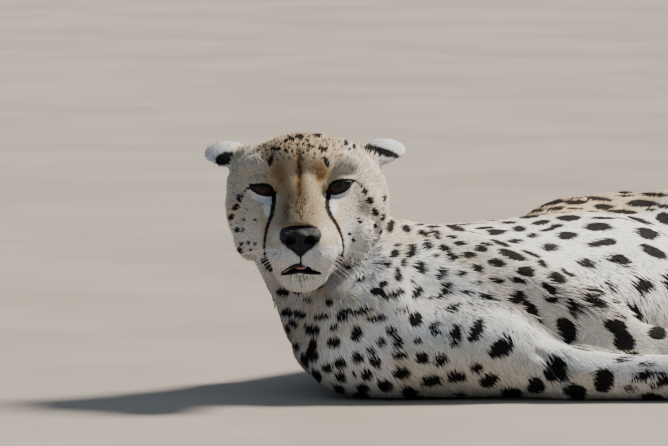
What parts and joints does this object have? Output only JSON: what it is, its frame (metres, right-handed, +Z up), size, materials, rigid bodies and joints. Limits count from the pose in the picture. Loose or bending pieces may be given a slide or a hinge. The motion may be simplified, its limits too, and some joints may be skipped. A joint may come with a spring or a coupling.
{
  "type": "cheetah",
  "caption": "Life-size cheetah lying on its right side, head raised and facing forward, long tail curled behind the rump",
  "frame": {"origin": "centre of the bounding box, at floor level", "axes": "+Z up; +Y runs to the rump and tail, the longest extent; +X runs to the feet; the face looks to -Y"},
  "size_m": [1.0838, 1.1656, 0.2456],
  "materials": {
    "coat": "short matte fur, tan with solid black spots, white underneath",
    "ear_coat": "short pale fur with a black patch on the back",
    "eye": "wet amber-brown",
    "nose_leather": "satin, finely pebbled",
    "tongue": "moist"
  },
  "bodies": {
    "root": {"ear_left": "ear_coat", "ear_right": "ear_coat", "eye_left": "eye", "eye_right": "eye", "foreleg_left_foot": "coat", "foreleg_left_lower": "coat", "foreleg_left_upper": "coat", "foreleg_right_foot": "coat", "foreleg_right_lower": "coat", "foreleg_right_upper": "coat", "head": "coat", "hindleg_left_foot": "coat", "hindleg_left_lower": "coat", "hindleg_left_upper": "coat", "hindleg_right_foot": "coat", "hindleg_right_lower": "coat", "hindleg_right_upper": "coat", "neck": "coat", "nose": "nose_leather", "tail_base": "coat", "tail_middle": "coat", "tail_tip": "coat", "tongue": "tongue", "trunk_belly": "coat", "trunk_chest": "coat", "trunk_hips": "coat"}
  },
  "joints": []
}
